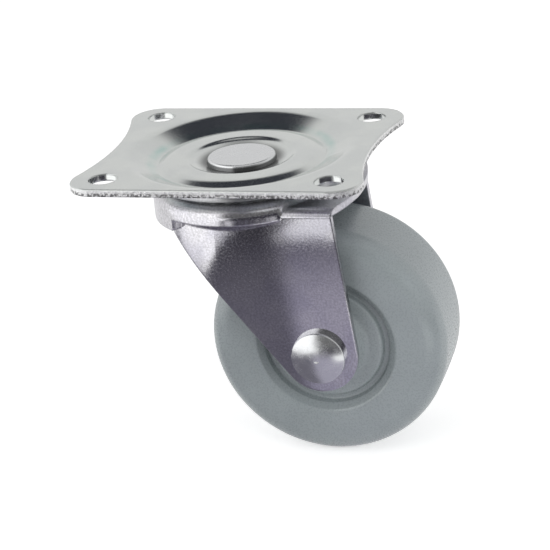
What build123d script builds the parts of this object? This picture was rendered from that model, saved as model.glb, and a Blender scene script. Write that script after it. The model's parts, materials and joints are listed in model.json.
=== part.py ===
"""Swivel castor with a bolt-on top plate, a double ball race and a one-piece rubber wheel.

Origin: centre of the top plate's mounting face, on the swivel axis.
+Z points up out of the mounting face, and the wheel trails towards +X. Sizes are in millimetres.
"""
import os
from math import asin, atan2, cos, hypot, pi, radians, sin, sqrt, tan

from build123d import *

# ---- top plate -------------------------------------------------------------------------------
plate_sheet = 1.5
plate_width = 50.2
plate_waist_length = 54.6
waist_arc_radius = 61.0
plate_corner_radius = 6.0
plate_edge_radius = 0.25
bolt_spacing_x = 46.6
bolt_spacing_y = 38.0
bolt_hole_radius = 3.0
dish_rim_radius = 24.7
dish_lip_radius = 5.0
dish_wall_angle = 22.0
dish_wall_width = 7.2
dish_ring_depth = 2.37
dish_ring_bend = 0.3
ridge_slope_width = 2.3
ridge_outer_bend = 4.5
ridge_inner_radius = 11.3
ridge_inner_bend = 1.6
ridge_depth = 1.5
step_foot_radius = 10.45
step_foot_depth = 1.95
step_foot_bend = 2.0
centre_radius = 7.6
centre_depth = 2.65
centre_bend = 1.2
plate_foot_radius = 19.5
plate_foot_depth = 4.65
plate_foot_bend = 0.6
plate_under_bend = 0.9

# ---- ball races ------------------------------------------------------------------------------
ball_radius = 1.5875
upper_ball_count = 25
lower_ball_count = 15
upper_race_radius = 13.2
lower_race_radius = 8.4
race_clearance = 0.08
coined_race_depth = 0.45
crown_gap = 1.25
cup_sheet = 1.4
cup_rim_width = 1.1
cup_drop = 0.3
cup_top_edge_radius = 0.3
cup_bottom_edge_radius = 0.6

# ---- kingpin rivet ---------------------------------------------------------------------------
kingpin_radius = 4.0
kingpin_neck_radius = 3.0
kingpin_head_radius = 7.3
kingpin_head_height = 1.15
kingpin_head_draft = 0.4
kingpin_head_edge_radius = 0.55
kingpin_tail_radius = 4.8
kingpin_tail_height = 1.5
kingpin_tail_draft = 0.7
kingpin_tail_edge_radius = 0.6
kingpin_tail_foot_radius = 0.3
rivet_clearance = 0.03

# ---- fork ------------------------------------------------------------------------------------
fork_sheet = 1.5
crown_hole_clearance = 1.3
drum_radius = 19.0
drum_shoulder_radius = 2.8
drum_wall_height = 1.3
shelf_drop = 1.6
drum_taper_angle = 30.0
crown_blend_radius = 1.5
front_skirt_drop = 5.0
leg_bend_inner_radius = 0.4
leg_nose_offset = 2.6
leg_end_radius = 8.0
leg_edge_x = 22.0
crown_edge_bulge = 3.3
leg_front_x = -12.2
leg_front_drop = 1.6

# ---- wheel and axle --------------------------------------------------------------------------
trail = 17.2
wheel_radius = 25.0
wheel_width = 21.2
wheel_corner_radius = 4.2
tread_crown = 0.25
wheel_top_gap = 5.5
recess_radius = 14.85
recess_bevel = 1.3
groove_depth = 2.5
groove_width = 1.1
groove_lean = 0.35
groove_bend = 0.3
bevel_edge_radius = 0.15
recess_edge_radius = 0.7
hub_dish_depth = 1.2
hub_dish_rise = 0.3
hub_shoulder_radius = 0.8
hub_foot_radius = 8.6
hub_foot_bend = 1.6
hub_radius = 6.2
hub_edge_radius = 0.6
bore_edge_radius = 0.4
hub_side_clearance = 0.3
hub_reach = 2.9
axle_radius = 3.0
axle_head_radius = 5.65
axle_head_height = 2.75
axle_head_edge_radius = 1.0
axle_head_slope = 0.25
axle_head_step_radius = 4.1
axle_head_step_drop = 0.65
axle_tail_radius = 4.6
axle_tail_height = 2.0
axle_tail_draft = 1.3
axle_tail_edge_radius = 1.2
axle_tail_foot_radius = 0.4
sleeve_wall = 1.0
sleeve_clearance = 0.08
bore_clearance = 0.06

# ---- levels and places that follow from the sizes above --------------------------------------
dish_ring_radius = dish_rim_radius - dish_wall_width
ridge_outer_radius = dish_ring_radius - ridge_slope_width
race_groove_radius = ball_radius + race_clearance
dish_centre_top = -centre_depth
plate_underside = -plate_foot_depth
upper_ball_z = plate_underside + coined_race_depth - race_groove_radius
crown_top = plate_underside - crown_gap
crown_underside = crown_top - fork_sheet
lower_ball_z = crown_underside + coined_race_depth - race_groove_radius
cup_top = lower_ball_z - cup_drop
cup_underside = cup_top - cup_sheet

shelf_top = crown_top - shelf_drop
shelf_underside = shelf_top - fork_sheet
drum_wall_bottom = crown_top - drum_shoulder_radius - drum_wall_height
front_skirt_bottom = shelf_top - front_skirt_drop

hub_half = wheel_width / 2 + hub_reach
leg_inner_y = hub_half + hub_side_clearance
leg_outer_y = leg_inner_y + fork_sheet
sleeve_inner_radius = axle_radius + sleeve_clearance
sleeve_outer_radius = sleeve_inner_radius + sleeve_wall
axle_x = trail
axle_z = shelf_underside - wheel_top_gap - wheel_radius
overall_height = wheel_radius - axle_z

reach = 2 * overall_height      # longer than the castor, for cuts that run right through it
margin = 1.0                    # how far a cut or a blank runs past the face it meets


def turned(section):
    """Solid turned about the swivel axis, from a closed outline of (radius, z, corner radius)."""
    points = [(r, z) for r, z, _ in section]
    corner_radii = [corner for _, _, corner in section]
    outline = FilletPolyline(*points, radius=corner_radii, close=True)
    return revolve(Plane.XZ * make_face(outline), Axis.Z)


def ring(circle_x, circle_z, radius):
    """Ring of round section about the swivel axis."""
    return Pos(0, 0, circle_z) * Torus(circle_x, radius)


def on_axle(solid):
    """Carry a solid turned about Z to the axle, with its +Z end towards -Y."""
    return Pos(axle_x, 0, axle_z) * Rot(90, 0, 0) * solid


def below(z):
    """Block that fills the space below a level."""
    return Pos(0, 0, z - reach / 2) * Box(reach, reach, reach)


def plate_outline():
    """Plate seen from above: straight long sides, and short sides that curve in at the middle."""
    half_width = plate_width / 2
    waist = plate_waist_length / 2
    corner_x = waist + waist_arc_radius - sqrt(waist_arc_radius**2 - half_width**2)
    sides = [
        Line((-corner_x, half_width), (corner_x, half_width)),
        ThreePointArc((corner_x, half_width), (waist, 0), (corner_x, -half_width)),
        Line((corner_x, -half_width), (-corner_x, -half_width)),
        ThreePointArc((-corner_x, -half_width), (-waist, 0), (-corner_x, half_width)),
    ]
    outline = make_face(sides)
    return fillet(outline.vertices(), plate_corner_radius)


def make_top_plate():
    """Pressed plate with a round dish, a raised ring over the balls and four bolt holes."""
    lean = radians(dish_wall_angle)
    wall_top = dish_ring_radius + dish_ring_depth * cos(lean) / sin(lean)
    under_top = wall_top + plate_sheet * tan(lean / 2)
    hole = kingpin_radius + rivet_clearance
    pressing = turned(
        [
            (hole, dish_centre_top, 0),
            (centre_radius, dish_centre_top, centre_bend),
            (step_foot_radius, -step_foot_depth, step_foot_bend),
            (ridge_inner_radius, -ridge_depth, ridge_inner_bend),
            (ridge_outer_radius, -ridge_depth, ridge_outer_bend),
            (dish_ring_radius, -dish_ring_depth, dish_ring_bend),
            (wall_top, 0, dish_lip_radius),
            (dish_rim_radius, 0, 0),
            (dish_rim_radius, -plate_sheet, 0),
            (under_top, -plate_sheet, plate_under_bend),
            (plate_foot_radius, plate_underside, plate_foot_bend),
            (hole, plate_underside, 0),
        ]
    )
    flat = extrude(plate_outline(), -plate_sheet)
    flat = chamfer(flat.faces().sort_by(Axis.Z)[-1].edges(), plate_edge_radius)
    flat -= Cylinder(dish_rim_radius, 2 * plate_sheet + margin)
    plate = flat + pressing
    plate -= ring(upper_race_radius, upper_ball_z, race_groove_radius)
    bolt_hole = Cylinder(bolt_hole_radius, 2 * plate_sheet + margin)
    return plate - GridLocations(bolt_spacing_x, bolt_spacing_y, 2, 2) * bolt_hole


def make_kingpin_rivet():
    """Flat round head in the dish, shank with a shoulder for the cup, and the tail that clamps it."""
    head_top = dish_centre_top + kingpin_head_height
    head_edge = kingpin_head_radius - kingpin_head_draft
    tail_bottom = cup_underside - kingpin_tail_height
    return turned(
        [
            (0, head_top, 0),
            (head_edge, head_top, kingpin_head_edge_radius),
            (kingpin_head_radius, dish_centre_top, 0),
            (kingpin_radius, dish_centre_top, 0),
            (kingpin_radius, cup_top, 0),
            (kingpin_neck_radius, cup_top, 0),
            (kingpin_neck_radius, cup_underside, 0),
            (kingpin_tail_radius, cup_underside, kingpin_tail_foot_radius),
            (kingpin_tail_radius - kingpin_tail_draft, tail_bottom, kingpin_tail_edge_radius),
            (0, tail_bottom, 0),
        ]
    )


def make_lower_race_cup():
    """Pressed ring with a ball groove in its upper face."""
    rim = lower_race_radius + race_groove_radius + cup_rim_width
    hole = kingpin_neck_radius + rivet_clearance
    cup = turned(
        [
            (hole, cup_top, 0),
            (rim, cup_top, cup_top_edge_radius),
            (rim, cup_underside, cup_bottom_edge_radius),
            (hole, cup_underside, 0),
        ]
    )
    cup += ring(lower_race_radius, lower_ball_z, race_groove_radius + cup_sheet) & below(cup_top)
    return cup - ring(lower_race_radius, lower_ball_z, race_groove_radius)


def crown(inset, skirt_bottom):
    """Round crown of the fork with its front skirt, the skin moved inwards by inset."""
    lean = radians(drum_taper_angle)
    top = crown_top - inset
    wall = drum_radius - inset
    shoulder = drum_shoulder_radius - inset
    taper_top = drum_wall_bottom + inset * (1 - sin(lean)) / cos(lean)
    foot = leg_outer_y - fork_sheet - inset
    taper_bottom = taper_top - (wall - foot) * sin(lean) / cos(lean)
    drum = turned(
        [
            (0, top, 0),
            (wall, top, shoulder),
            (wall, taper_top, 0),
            (foot, taper_bottom, 0),
            (0, taper_bottom, 0),
        ]
    )
    side = leg_outer_y / drum_radius * wall - inset
    front = -sqrt(wall**2 - side**2)
    rim = ThreePointArc((front, side), (-wall, 0), (front, -side))
    sector = make_face([Line((0, 0), rim @ 0), rim, Line(rim @ 1, (0, 0))])
    skirt_top = (top - shoulder + drum_wall_bottom) / 2
    return drum + Pos(0, 0, skirt_top) * extrude(sector, skirt_bottom - skirt_top)


def leg_walls(inset):
    """Flat sides, rounded nose and top shelf of the fork, with the skin moved inwards by inset."""
    side = leg_outer_y - inset
    length = leg_edge_x + crown_edge_bulge + leg_nose_offset + margin
    sides = Pos(length / 2 - leg_nose_offset, 0) * Rectangle(length, 2 * side)
    plan = Pos(-leg_nose_offset, 0) * Circle(side) + sides
    top = shelf_top - inset
    walls = Pos(0, 0, top - overall_height) * extrude(plan, overall_height)
    bend = leg_bend_inner_radius + fork_sheet - inset
    long_edges = walls.edges().filter_by(Axis.X).group_by(Axis.Z)[-1]
    nose_edge = walls.edges().filter_by(GeomType.CIRCLE).group_by(Axis.Z)[-1]
    return fillet(long_edges + nose_edge, bend)


def tangent_point(x, z, side):
    """Point where a line from (x, z) touches the round leg end, on one side of it."""
    away = hypot(x - axle_x, z - axle_z)
    towards = atan2(z - axle_z, x - axle_x)
    swing = pi / 2 - asin(leg_end_radius / away)
    angle = towards + side * swing
    return (axle_x + leg_end_radius * cos(angle), axle_z + leg_end_radius * sin(angle))


def side_outline():
    """Side view of the fork: crown, front skirt and the two edges of a leg down to its round end."""
    front_top = (leg_front_x, front_skirt_bottom - leg_front_drop)
    front = tangent_point(*front_top, 1)
    rear_top = (leg_edge_x, shelf_underside)
    rear = tangent_point(*rear_top, -1)
    outline = Polyline(
        (-reach, margin),
        (reach, margin),
        (reach, shelf_underside),
        rear_top,
        rear,
        (axle_x, axle_z),
        front,
        front_top,
        (leg_front_x, front_skirt_bottom),
        (-reach, front_skirt_bottom),
        close=True,
    )
    return make_face(outline) + Pos(axle_x, axle_z) * Circle(leg_end_radius)


def behind_crown():
    """Space behind the crown's rear edge, which bulges between the legs, down to the bends."""
    bulge_radius = (leg_outer_y**2 + crown_edge_bulge**2) / (2 * crown_edge_bulge)
    centre = leg_edge_x + crown_edge_bulge - bulge_radius
    behind = Pos(leg_edge_x + reach / 2, 0) * Rectangle(reach, reach) - Pos(centre, 0) * Circle(bulge_radius)
    return Pos(0, 0, shelf_underside) * extrude(behind, reach)


def on_crown_joint(edge):
    """Whether an edge lies where the round crown runs out onto the shelf and the legs."""
    middle = edge @ 0.5
    away = hypot(middle.X, middle.Y)
    beside_crown = middle.X > 0 and drum_radius - drum_shoulder_radius < away < drum_radius + margin
    return beside_crown and drum_wall_bottom < middle.Z < shelf_top + margin / 2


def make_fork():
    """One pressing: round crown with a ball track, front skirt, rear shelf and two flat legs."""
    shell = leg_walls(0) + crown(0, front_skirt_bottom)
    shell = fillet(shell.edges().filter_by(on_crown_joint), crown_blend_radius)
    shell -= crown(fork_sheet, front_skirt_bottom - margin)
    shell -= leg_walls(fork_sheet)
    track = ring(upper_race_radius, upper_ball_z, race_groove_radius + fork_sheet) & below(crown_top)
    shell += track
    shell -= ring(upper_race_radius, upper_ball_z, race_groove_radius)
    shell -= ring(lower_race_radius, lower_ball_z, race_groove_radius)
    shell -= Cylinder(kingpin_radius + crown_hole_clearance, reach)
    shell &= Pos(0, reach / 2, 0) * extrude(Plane.XZ * side_outline(), reach)
    shell -= behind_crown()
    return shell - on_axle(Cylinder(axle_radius + rivet_clearance, reach))


def make_axle_rivet():
    """Domed head at the near side, plain shank and the low head formed at the far side."""
    near = leg_outer_y
    far = -leg_outer_y
    crest = near + axle_head_height
    step = crest - axle_head_step_drop
    tail_bottom = far - axle_tail_height
    rivet = turned(
        [
            (0, crest, 0),
            (axle_head_step_radius, crest, 0),
            (axle_head_step_radius, step, 0),
            (axle_head_radius, step - axle_head_slope, axle_head_edge_radius),
            (axle_head_radius, near, 0),
            (axle_radius, near, 0),
            (axle_radius, far, 0),
            (axle_tail_radius, far, axle_tail_foot_radius),
            (axle_tail_radius - axle_tail_draft, tail_bottom, axle_tail_edge_radius),
            (0, tail_bottom, 0),
        ]
    )
    dome_radius = (axle_head_step_radius**2 + axle_head_step_drop**2) / (2 * axle_head_step_drop)
    dome = Pos(0, 0, crest - dome_radius) * Sphere(dome_radius)
    slug = Pos(0, 0, step) * Cylinder(axle_head_radius, 2 * axle_head_step_drop)
    return on_axle(rivet - (slug - dome))


def make_axle_sleeve():
    """Tube that spaces the legs and carries the wheel."""
    tube = Cylinder(sleeve_outer_radius, 2 * leg_inner_y) - Cylinder(sleeve_inner_radius, 2 * leg_inner_y)
    return on_axle(tube)


def make_wheel():
    """One-piece wheel: round-cornered tyre, bevelled recess, groove, hub dish and hub."""
    face = wheel_width / 2
    bore = sleeve_outer_radius + bore_clearance
    bevel_r = recess_radius - recess_bevel
    groove_out = bevel_r - groove_lean
    groove_in = groove_out - groove_width
    dish = face - hub_dish_depth
    tread_edge = wheel_radius - tread_crown
    corners = [
        (bore, hub_half, bore_edge_radius),
        (hub_radius, hub_half, hub_edge_radius),
        (hub_foot_radius, dish + hub_dish_rise, hub_foot_bend),
        (groove_in - groove_lean, dish, hub_shoulder_radius),
        (groove_in, face - groove_depth, groove_bend),
        (groove_out, face - groove_depth, groove_bend),
        (bevel_r, face - recess_bevel, bevel_edge_radius),
        (recess_radius, face, recess_edge_radius),
    ]
    points = [(bore, 0)] + [(r, a) for r, a, _ in corners] + [(tread_edge, face)]
    side = FilletPolyline(*points, radius=[corner for _, _, corner in corners])
    tread = ThreePointArc((tread_edge, face), (wheel_radius, 0), (tread_edge, -face))
    outline = make_face([side, tread, mirror(side, Plane.XZ)])
    outline = fillet(outline.vertices().group_by(Axis.X)[-1], wheel_corner_radius)
    return on_axle(revolve(Plane.XZ * outline, Axis.Z))


def make_balls(count, race_radius, ball_z, name):
    """Evenly spaced balls of one race, by node name."""
    balls = {}
    for index in range(count):
        angle = 2 * pi * index / count
        place = Pos(race_radius * cos(angle), race_radius * sin(angle), ball_z)
        balls[f"{name}_{index + 1:02d}"] = place * Sphere(ball_radius)
    return balls


nodes = {
    "top_plate": make_top_plate(),
    "kingpin_rivet": make_kingpin_rivet(),
    "lower_race_cup": make_lower_race_cup(),
    "fork": make_fork(),
    "axle_rivet": make_axle_rivet(),
    "axle_sleeve": make_axle_sleeve(),
    "wheel": make_wheel(),
}
nodes |= make_balls(upper_ball_count, upper_race_radius, upper_ball_z, "upper_ball")
nodes |= make_balls(lower_ball_count, lower_race_radius, lower_ball_z, "lower_ball")

os.makedirs("parts", exist_ok=True)
for name, solid in nodes.items():
    export_step(solid, f"parts/{name}.step")
print(f"{len(nodes)} nodes, overall height {overall_height:.1f} mm")
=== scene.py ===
"""Looks of the swivel castor: finishes for every piece, a pale floor, studio light and the camera.

Everything is in metres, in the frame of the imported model: origin at the centre of the plate's
mounting face, +Z up, the wheel trailing towards +X. The camera stands on the -Y side.
"""

import json
from math import cos, radians, sin

import bpy
from mathutils import Matrix, Vector


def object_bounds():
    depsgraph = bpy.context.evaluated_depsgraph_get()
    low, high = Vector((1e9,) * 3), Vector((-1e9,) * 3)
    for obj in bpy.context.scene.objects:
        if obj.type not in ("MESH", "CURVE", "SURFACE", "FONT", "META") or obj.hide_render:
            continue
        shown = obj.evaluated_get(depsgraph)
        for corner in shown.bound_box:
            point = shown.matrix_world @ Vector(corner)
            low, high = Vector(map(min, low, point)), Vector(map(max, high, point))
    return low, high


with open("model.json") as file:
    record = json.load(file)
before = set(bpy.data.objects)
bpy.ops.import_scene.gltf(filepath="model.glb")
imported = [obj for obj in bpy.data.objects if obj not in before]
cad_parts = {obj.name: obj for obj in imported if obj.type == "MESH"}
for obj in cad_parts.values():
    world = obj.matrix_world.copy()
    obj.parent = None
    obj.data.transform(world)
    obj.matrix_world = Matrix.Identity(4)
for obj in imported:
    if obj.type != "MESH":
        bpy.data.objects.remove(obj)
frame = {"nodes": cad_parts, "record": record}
cad_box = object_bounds()

# ---- camera ----------------------------------------------------------------------------------
camera_azimuth = radians(-17.3194)
camera_elevation = radians(22.6675)
camera_roll = radians(-5.5737)
camera_place = Vector((0.12105, -0.37316, 0.13484))
camera_lens = 132.158
camera_sensor = 36.0
camera_clip_start = 0.01

# ---- floor and studio ------------------------------------------------------------------------
white = (1, 1, 1, 1)
floor_size = 6.0
floor_colour = (0.90, 0.90, 0.90, 1)
floor_roughness = 0.9
floor_specular = 0.1
floor_glow = 0.50
# how bright the studio's walls are all round, as (degrees from +Y towards +X, level)
walls = [
    (-180, 0.17),
    (-168, 0.17),
    (-160, 1.45),
    (-108, 1.42),
    (-92, 1.05),
    (-68, 0.90),
    (-40, 0.76),
    (60, 0.74),
    (96, 0.55),
    (122, 0.20),
    (180, 0.17),
]
# above the walls the studio has one level, which begins at one elevation and is full at another
upper_level = 0.62
upper_start = radians(42)
upper_full = radians(54)
# a dark strip of ceiling, turned about Z: its ends and its half width are shares of the height,
# and least_height keeps them finite near the horizon
studio_turn = radians(-17)
dark_colour = (0.034, 0.037, 0.048, 1)
dark_sides = 0.64
dark_back = 0.95
dark_front = 0.37
dark_blur = 0.16
dark_front_blur = 0.12
least_height = 0.01
lamp_place = Vector((0.42, -0.36, 0.14))
lamp_size = 0.40
lamp_power = 1.2

# ---- card on the floor -----------------------------------------------------------------------
card_size = 5.0
card_lift = 0.0004
card_blur = 0.003
# the pale part has one level in front and another behind
card_white_level = 1.42
card_back_level = 0.92
card_back_start = -0.035
card_back_end = 0.015
# the dark part lies in front, right of an edge that slants off to the left beyond card_turn_y
card_left_edge = -0.043
card_turn_y = -0.125
card_turn_slope = 1.00
card_front_start = -0.020
card_front_end = 0.0
card_tint = (1.0, 0.96, 1.16, 1)
# it gets darker with the distance from the centre of the mounting face
card_near_level = 0.42
card_far_level = 0.06
card_fade_start = 0.105
card_fade_end = 0.180
# left of a slanting line it keeps only a share of its level
card_middle = 0.022
card_middle_slope = 0.36
card_middle_share = 0.40
# small white slips in front, as (left, right, back and front edge, the edges' blur, level)
slips = [
    (-0.027, -0.004, -0.1365, -0.180, 0.003, 1.15),
    (0.040, 0.115, -0.062, -0.112, 0.006, 1.30),
]

# ---- finishes --------------------------------------------------------------------------------
# a noise is (size of its patches, detail) or (size of its patches, detail, detail's roughness)
# a spread is the two values between which something changes, and a bump is (strength, depth)
noise_spread = (0.3, 0.7)
corner_radius = 0.0005
corner_samples = 6

zinc_patches = (0.009, 2.0)
zinc_grain = (0.00045, 4.0, 0.65)
zinc_fine = (0.00016, 2.0)
zinc_mottle_spread = (0.36, 0.64)
zinc_fleck_spread = (0.35, 0.68)
zinc_patch_depth = 0.0003
zinc_grain_depth = 0.00006
zinc_fine_depth = 0.00002

# the fork and the cup are rougher on top, on curved walls and outside the legs' flat faces
top_spread = (0.3, 0.8)
top_roughness = 0.22
curved_spread = (0.970, 0.998)
curved_roughness = 0.09
bulge_spread = (0.0154, 0.0160)
bulge_roughness = 0.11

# the plate's cut edges are its upright faces above edge_bottom and away from the bolt holes
edge_spread = (0.05, 0.30)
edge_bottom = -0.0016
edge_blur = 0.0002
edge_roughness = 0.36
bolt_hole = (0.0233, 0.0190, 0)
bolt_hole_reach = 0.0034
# they are torn, with dark and pale grain, and burnished above burnish_level
torn_grain = (0.0006, 3.0, 0.7)
torn_spread = (0.42, 0.58)
torn_bump = (1.0, 0.00035)
torn_dark = 0.22
torn_pale = 0.95
burnish_level = -0.0008
burnished_dark = 0.85
burnished_pale = 1.0
# a faint blue-green ring in the dish, in patches, partly the plating's tint and partly painted shade
ring_tint_and_shade = (0.76, 0.92, 0.89, 1)
ring_inner = 0.0172
ring_outer = 0.0202
ring_patch_spread = (0.40, 0.60)
ring_least = 0.3
# painted shade: the plate is dark in the crease round the kingpin's head
crease_spread = (0.0074, 0.0098)
crease_shade = 0.22

steel_patches = (0.0022, 3.0)
steel_grain = (0.0003, 3.0)
steel_patch_shade = 0.93
steel_patch_bump = (0.03, 0.0001)
steel_grain_bump = (0.06, 0.00003)
# painted shade: steel is dark at the foot of the kingpin's head, between these two heights
foot_top_spread = (-0.0021, -0.0018)
foot_bottom_spread = (-0.0040, -0.0038)
foot_shade = 0.22

rubber_clouds = (0.012, 3.0)
rubber_grain = (0.00035, 3.0)
rubber_dark = (0.290, 0.325, 0.338, 1)
rubber_light = (0.312, 0.350, 0.362, 1)
rubber_roughness = (0.26, 0.30)
rubber_specular = 0.9
rubber_cloud_bump = (0.06, 0.0005)
rubber_grain_bump = (0.02, 0.00003)


# ---- shader helpers --------------------------------------------------------------------------
def add(tree, kind, inputs=None, **settings):
    """Add a shader node; each input is linked if it is a socket, and set if it is a value."""
    made = tree.nodes.new("ShaderNode" + kind)
    for name, value in settings.items():
        setattr(made, name, value)
    for name, value in (inputs or {}).items():
        if isinstance(value, bpy.types.NodeSocket):
            tree.links.new(value, made.inputs[name])
        else:
            made.inputs[name].default_value = value
    return made


def calc(tree, operation, first, second=0.0, third=0.0):
    """Socket with the result of one sum."""
    made = add(tree, "Math", {0: first, 1: second, 2: third}, operation=operation)
    return made.outputs[0]


def product(tree, *factors):
    """Socket with several values multiplied in turn."""
    result = factors[0]
    for factor in factors[1:]:
        result = calc(tree, "MULTIPLY", result, factor)
    return result


def span(tree, value, low, high, to_low=0.0, to_high=1.0):
    """Socket that goes smoothly from to_low to to_high as value goes from low to high."""
    limits = {"From Min": low, "From Max": high, "To Min": to_low, "To Max": to_high}
    made = add(tree, "MapRange", {"Value": value, **limits}, interpolation_type="SMOOTHSTEP")
    return made.outputs["Result"]


def step(tree, value, edge, blur, below=0.0, above=1.0):
    """Socket that goes from below to above where value passes edge, blurred to either side."""
    return span(tree, value, edge - blur, edge + blur, below, above)


def part_of(tree, vector, axis):
    """Socket with the X, Y or Z of a vector."""
    return add(tree, "SeparateXYZ", {0: vector}).outputs[axis]


def size_of(tree, vector, axis):
    """Socket with the X, Y or Z of a vector, without its sign."""
    return calc(tree, "ABSOLUTE", part_of(tree, vector, axis))


def length_of(tree, vector):
    """Socket with the length of a vector."""
    return add(tree, "VectorMath", {0: vector}, operation="LENGTH").outputs["Value"]


def flattened(tree, vector):
    """Socket with a vector whose Z is 0."""
    return add(tree, "VectorMath", {0: vector, 1: (1, 1, 0)}, operation="MULTIPLY").outputs[0]


def facing(tree):
    """Socket with the direction that the surface faces, without bumps."""
    return add(tree, "NewGeometry").outputs["True Normal"]


def noise(tree, where, size, detail, roughness=0.55):
    """Noise from 0 to 1 whose patches are about size metres across."""
    inputs = {"Vector": where, "Scale": 1 / size, "Detail": detail, "Roughness": roughness}
    return add(tree, "TexNoise", inputs).outputs["Fac"]


def blend_colour(tree, amount, first, second, mode="MIX"):
    """Socket with two colours mixed."""
    # a Mix node has sockets for every kind of data: these are its amount, its colours and its result
    made = add(tree, "Mix", data_type="RGBA", blend_type=mode)
    for index, value in ((0, amount), (6, first), (7, second)):
        if isinstance(value, bpy.types.NodeSocket):
            tree.links.new(value, made.inputs[index])
        else:
            made.inputs[index].default_value = value
    return made.outputs[2]


def tinted(tree, colour, tint):
    """Socket with one colour multiplied by another."""
    return blend_colour(tree, 1.0, colour, tint, "MULTIPLY")


def grey(tree, level):
    """Socket with the grey that a socket's level gives."""
    return add(tree, "CombineColor", {0: level, 1: level, 2: level}).outputs[0]


def plain_grey(level):
    """Colour value of a grey."""
    return (level, level, level, 1)


def start_material(name):
    """New node material, with its tree, its main shader and its position in metres."""
    material = bpy.data.materials.new(name)
    material.use_nodes = True
    tree = material.node_tree
    where = add(tree, "TexCoord").outputs["Object"]
    return material, tree, tree.nodes["Principled BSDF"], where


def finish_shader(tree, shader, colour, roughness, bumps, corner=None):
    """Link colour, roughness and a chain of (height, strength, depth) bumps to the shader.

    With a corner radius, the bumps start from normals that are rounded at sharp corners.
    """
    tree.links.new(colour, shader.inputs["Base Color"])
    tree.links.new(roughness, shader.inputs["Roughness"])
    normal = None
    if corner:
        normal = add(tree, "Bevel", {"Radius": corner}, samples=corner_samples).outputs[0]
    for height, strength, depth in bumps:
        bump = add(tree, "Bump", {"Height": height, "Strength": strength, "Distance": depth})
        if normal:
            tree.links.new(normal, bump.inputs["Normal"])
        normal = bump.outputs["Normal"]
    tree.links.new(normal, shader.inputs["Normal"])


# ---- materials -------------------------------------------------------------------------------
def fork_wear(tree, where, patches, colour, roughness):
    """Colour, roughness and further bumps of the fork and the cup, rougher off the flat faces."""
    top = span(tree, part_of(tree, facing(tree), "Z"), *top_spread, 0.0, top_roughness)
    roughness = calc(tree, "ADD", roughness, top)
    curved = span(tree, size_of(tree, facing(tree), "Y"), *curved_spread, curved_roughness, 0.0)
    bulge = span(tree, size_of(tree, where, "Y"), *bulge_spread, 0.0, bulge_roughness)
    roughness = calc(tree, "ADD", roughness, calc(tree, "MAXIMUM", curved, bulge))
    return colour, roughness, []


def cut_edges(tree, where):
    """Socket with where the plate's cut edges are, from 0 to 1."""
    upright = span(tree, size_of(tree, facing(tree), "Z"), *edge_spread, 1.0, 0.0)
    rim = step(tree, part_of(tree, where, "Z"), edge_bottom, edge_blur)
    corner = add(tree, "VectorMath", {0: where}, operation="ABSOLUTE").outputs[0]
    ends = {0: flattened(tree, corner), 1: bolt_hole}
    from_hole = add(tree, "VectorMath", ends, operation="DISTANCE").outputs["Value"]
    off_hole = span(tree, from_hole, bolt_hole_reach, bolt_hole_reach + edge_blur)
    return product(tree, upright, rim, off_hole)


def plate_marks(tree, where, patches, colour, roughness):
    """Colour, roughness and further bumps of the plate: its ring, partly painted shade, the painted
    shade round the kingpin's head and its cut edges.
    """
    radius = length_of(tree, flattened(tree, where))
    middle = (ring_inner + ring_outer) / 2
    off_ring = calc(tree, "ABSOLUTE", calc(tree, "SUBTRACT", radius, middle))
    ring = span(tree, off_ring, 0.0, (ring_outer - ring_inner) / 2, 1.0, 0.0)
    ring = product(tree, ring, span(tree, patches, *ring_patch_spread, ring_least, 1.0))
    # the ring's tint is partly the plating's tint and partly painted shade
    colour = blend_colour(tree, ring, colour, tinted(tree, colour, ring_tint_and_shade))
    # painted shade in the crease round the kingpin's head
    crease = span(tree, radius, *crease_spread, crease_shade, 1.0)
    colour = tinted(tree, colour, grey(tree, crease))

    edge = cut_edges(tree, where)
    torn = noise(tree, where, *torn_grain)
    height = part_of(tree, where, "Z")
    low = step(tree, height, burnish_level, edge_blur, torn_dark, burnished_dark)
    high = step(tree, height, burnish_level, edge_blur, torn_pale, burnished_pale)
    cut = grey(tree, span(tree, torn, *torn_spread, low, high))
    colour = blend_colour(tree, edge, colour, cut)
    roughness = calc(tree, "ADD", roughness, product(tree, edge, edge_roughness))
    return colour, roughness, [(product(tree, torn, edge), *torn_bump)]


def zinc(name, light, dark, speckle, gloss, ripple, marks):
    """Zinc-plated pressed sheet: gloss is its lowest and highest roughness.

    marks is the function that adds what sets the plate apart from the fork and the cup.
    """
    material, tree, shader, where = start_material(name)
    shader.inputs["Metallic"].default_value = 1.0
    patches = noise(tree, where, *zinc_patches)
    grain = noise(tree, where, *zinc_grain)
    fine = noise(tree, where, *zinc_fine)
    colour = blend_colour(tree, span(tree, patches, *zinc_mottle_spread), light, dark)
    flecks = span(tree, grain, *zinc_fleck_spread, 1 - speckle, 1.0)
    colour = tinted(tree, colour, grey(tree, flecks))
    roughness = span(tree, grain, *noise_spread, *gloss)
    colour, roughness, further = marks(tree, where, patches, colour, roughness)
    bumps = [
        (patches, ripple, zinc_patch_depth),
        (grain, ripple, zinc_grain_depth),
        (fine, ripple / 2, zinc_fine_depth),
    ]
    finish_shader(tree, shader, colour, roughness, bumps + further, corner_radius)
    return material


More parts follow.
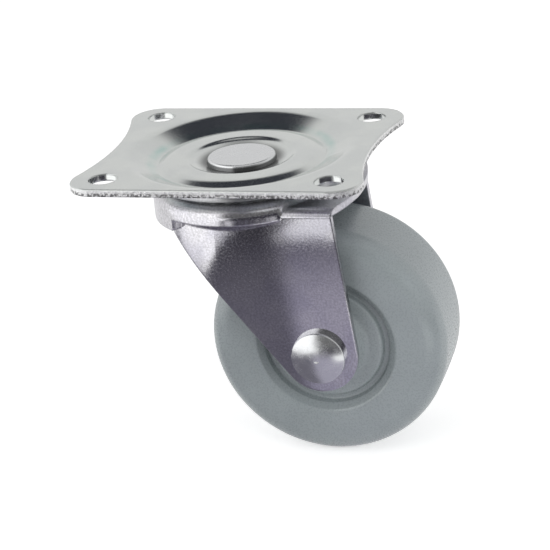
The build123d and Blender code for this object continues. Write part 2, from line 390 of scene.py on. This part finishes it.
def plain_steel(name, colour, gloss):
    """Smooth steel with a faint mottle and painted shade at the foot of the kingpin's head: gloss is
    its lowest and highest roughness.
    """
    material, tree, shader, where = start_material(name)
    shader.inputs["Metallic"].default_value = 1.0
    patches = noise(tree, where, *steel_patches)
    grain = noise(tree, where, *steel_grain)
    height = part_of(tree, where, "Z")
    # painted shade at the foot of the kingpin's head, from foot_top_spread down to
    # foot_bottom_spread
    above_foot = span(tree, height, *foot_top_spread, foot_shade, 1.0)
    below_foot = span(tree, height, *foot_bottom_spread, 1.0, 0.0)
    foot = calc(tree, "MAXIMUM", above_foot, below_foot)
    shade = product(tree, span(tree, patches, *noise_spread, steel_patch_shade, 1.0), foot)
    roughness = span(tree, patches, *noise_spread, *gloss)
    bumps = [(patches, *steel_patch_bump), (grain, *steel_grain_bump)]
    finish_shader(tree, shader, tinted(tree, colour, grey(tree, shade)), roughness, bumps)
    return material


def rubber(name):
    """Moulded grey rubber: satin, with a fine matt grain and faint cloudy mottling."""
    material, tree, shader, where = start_material(name)
    clouds = noise(tree, where, *rubber_clouds)
    grain = noise(tree, where, *rubber_grain)
    colour = blend_colour(tree, span(tree, clouds, *noise_spread), rubber_dark, rubber_light)
    shader.inputs["Specular IOR Level"].default_value = rubber_specular
    roughness = span(tree, grain, *noise_spread, *rubber_roughness)
    bumps = [(clouds, *rubber_cloud_bump), (grain, *rubber_grain_bump)]
    finish_shader(tree, shader, colour, roughness, bumps)
    return material


def dress():
    """Give every CAD node the finish that its slot in the record asks for."""
    finishes = {
        "zinc_plate": zinc(
            "zinc_plate",
            light=(0.74, 0.76, 0.74, 1),
            dark=(0.70, 0.72, 0.71, 1),
            speckle=0.04,
            gloss=(0.12, 0.17),
            ripple=0.02,
            marks=plate_marks,
        ),
        "zinc_fork": zinc(
            "zinc_fork",
            light=(0.74, 0.73, 0.76, 1),
            dark=(0.63, 0.62, 0.68, 1),
            speckle=0.26,
            gloss=(0.04, 0.09),
            ripple=0.06,
            marks=fork_wear,
        ),
        "zinc_cup": zinc(
            "zinc_cup",
            light=(0.70, 0.71, 0.72, 1),
            dark=(0.64, 0.65, 0.67, 1),
            speckle=0.12,
            gloss=(0.14, 0.22),
            ripple=0.08,
            marks=fork_wear,
        ),
        "rivet_steel": plain_steel("rivet_steel", (0.78, 0.79, 0.80, 1), gloss=(0.20, 0.30)),
        "sleeve_steel": plain_steel("sleeve_steel", (0.62, 0.63, 0.65, 1), gloss=(0.22, 0.34)),
        "bearing_steel": plain_steel("bearing_steel", (0.80, 0.81, 0.83, 1), gloss=(0.05, 0.09)),
        "grey_rubber": rubber("grey_rubber"),
    }
    for part in frame["record"]["subparts"]:
        mesh = frame["nodes"][part["node"]].data
        mesh.materials.clear()
        mesh.materials.append(finishes[part["material_slot"]])


# ---- floor, light and camera -----------------------------------------------------------------
def flat_square(name, size, level):
    """Horizontal square round the origin."""
    mesh = bpy.data.meshes.new(name)
    half = size / 2
    corners = [(-half, -half), (half, -half), (half, half), (-half, half)]
    mesh.from_pydata([(x, y, level) for x, y in corners], [], [(0, 1, 2, 3)])
    sheet = bpy.data.objects.new(name, mesh)
    bpy.context.scene.collection.objects.link(sheet)
    return sheet


def lay_floor(level):
    """Plain pale floor under the wheel, white in the picture, with the castor's soft shadow."""
    floor = flat_square("floor", floor_size, level)
    material, tree, shader, _ = start_material("floor_paint")
    shader.inputs["Base Color"].default_value = floor_colour
    shader.inputs["Roughness"].default_value = floor_roughness
    shader.inputs["Specular IOR Level"].default_value = floor_specular
    shader.inputs["Emission Color"].default_value = white
    seen = add(tree, "LightPath").outputs["Is Camera Ray"]
    tree.links.new(product(tree, seen, floor_glow), shader.inputs["Emission Strength"])
    floor.data.materials.append(material)


def all_round(tree, x, y, levels):
    """Socket with the level that a list of (degrees, level) gives in the direction (x, y)."""
    azimuth = calc(tree, "ARCTAN2", x, y)
    limits = {"Value": azimuth, "From Min": radians(-180), "From Max": radians(180)}
    turn = add(tree, "MapRange", limits).outputs["Result"]
    ramp = add(tree, "ValToRGB", {"Fac": turn})
    stops = ramp.color_ramp.elements
    while len(stops) < len(levels):
        stops.new(0.5)  # each stop's place is set below
    for stop, (degrees, level) in zip(stops, levels):
        stop.position = (degrees + 180) / 360
        stop.color = plain_grey(level)
    return ramp.outputs["Color"]


def card_colour(tree):
    """Socket with the card's colour: pale left and behind, dark in front, with white slips."""
    spot = add(tree, "TexCoord").outputs["Object"]
    x, y = part_of(tree, spot, "X"), part_of(tree, spot, "Y")
    back = span(tree, y, card_back_start, card_back_end)
    pale = span(tree, back, 0.0, 1.0, card_white_level, card_back_level)

    past_turn = calc(tree, "MAXIMUM", calc(tree, "SUBTRACT", y, card_turn_y), 0.0)
    edge = calc(tree, "MULTIPLY_ADD", past_turn, -card_turn_slope, card_left_edge)
    right_of_edge = step(tree, calc(tree, "SUBTRACT", x, edge), 0.0, card_blur)
    before_end = span(tree, y, card_front_start, card_front_end, 1.0, 0.0)
    in_front = product(tree, right_of_edge, before_end)

    distance = length_of(tree, spot)
    dark = span(tree, distance, card_fade_start, card_fade_end, card_near_level, card_far_level)
    slanted = calc(tree, "MULTIPLY_ADD", y, -card_middle_slope, x)
    dark = product(tree, dark, step(tree, slanted, card_middle, card_blur, card_middle_share, 1.0))
    dim = tinted(tree, grey(tree, dark), card_tint)
    for left, right, back_edge, front_edge, blur, level in slips:
        on_slip = product(
            tree,
            step(tree, x, left, blur),
            step(tree, x, right, blur, 1.0, 0.0),
            step(tree, y, back_edge, blur, 1.0, 0.0),
            step(tree, y, front_edge, blur),
        )
        dim = blend_colour(tree, on_slip, dim, plain_grey(level))
    return blend_colour(tree, in_front, grey(tree, pale), dim)


def lay_reflector_card(level):
    """Glowing card just above the floor, which only glossy surfaces mirror."""
    card = flat_square("reflector_card", card_size, level + card_lift)
    card.visible_camera = False
    card.visible_diffuse = False
    card.visible_shadow = False
    card.visible_transmission = False
    material = bpy.data.materials.new("reflector_card")
    material.use_nodes = True
    tree = material.node_tree
    tree.nodes.clear()
    glow = add(tree, "Emission", {"Color": card_colour(tree)})
    add(tree, "OutputMaterial", {"Surface": glow.outputs[0]})
    card.data.materials.append(material)


def light_studio():
    """Pale walls all round, dark in front and overhead, and one soft lamp on the right."""
    world = bpy.data.worlds.new("studio")
    world.use_nodes = True
    tree = world.node_tree
    tree.nodes.clear()
    towards = add(tree, "TexCoord").outputs["Generated"]
    wall = all_round(tree, part_of(tree, towards, "X"), part_of(tree, towards, "Y"), walls)
    turn = {"Vector": towards, "Angle": studio_turn}
    turned = add(tree, "VectorRotate", turn, rotation_type="Z_AXIS").outputs[0]
    upwards = part_of(tree, turned, "Z")
    upper = span(tree, upwards, sin(upper_start), sin(upper_full))
    studio = blend_colour(tree, upper, wall, plain_grey(upper_level))

    height = calc(tree, "MAXIMUM", upwards, least_height)
    across = calc(tree, "ABSOLUTE", calc(tree, "DIVIDE", part_of(tree, turned, "X"), height))
    along = calc(tree, "DIVIDE", part_of(tree, turned, "Y"), height)
    strip = product(
        tree,
        step(tree, along, dark_back, dark_blur, 1.0, 0.0),
        step(tree, along, dark_front, dark_front_blur),
        step(tree, across, dark_sides, dark_blur, 1.0, 0.0),
    )
    studio = blend_colour(tree, strip, studio, dark_colour)
    seen = blend_colour(tree, add(tree, "LightPath").outputs["Is Camera Ray"], studio, white)
    add(tree, "OutputWorld", {"Surface": add(tree, "Background", {"Color": seen}).outputs[0]})
    bpy.context.scene.world = world

    lamp = bpy.data.lights.new("lamp", "AREA")
    lamp.size = lamp_size
    lamp.energy = lamp_power
    holder = bpy.data.objects.new("lamp", lamp)
    holder.location = lamp_place
    holder.rotation_euler = lamp_place.to_track_quat("Z", "Y").to_euler()
    holder.visible_camera = False
    holder.visible_glossy = False
    bpy.context.scene.collection.objects.link(holder)


def set_camera():
    """Camera at the place, direction and roll that fit the photograph."""
    forward = Vector(
        (
            sin(camera_azimuth) * cos(camera_elevation),
            cos(camera_azimuth) * cos(camera_elevation),
            -sin(camera_elevation),
        )
    )
    right = Vector((cos(camera_azimuth), -sin(camera_azimuth), 0))
    up = right.cross(forward)
    side = cos(camera_roll) * right + sin(camera_roll) * up
    top = cos(camera_roll) * up - sin(camera_roll) * right
    turn = Matrix((side, top, -forward)).transposed()
    data = bpy.data.cameras.new("camera")
    data.lens = camera_lens
    data.sensor_width = camera_sensor
    data.clip_start = camera_clip_start
    camera = bpy.data.objects.new("camera", data)
    camera.matrix_world = Matrix.Translation(camera_place) @ turn.to_4x4()
    bpy.context.scene.collection.objects.link(camera)
    bpy.context.scene.camera = camera


floor_level = cad_box[0][2]
dress()
lay_floor(floor_level)
lay_reflector_card(floor_level)
light_studio()
set_camera()
bpy.context.scene.view_settings.view_transform = "Standard"
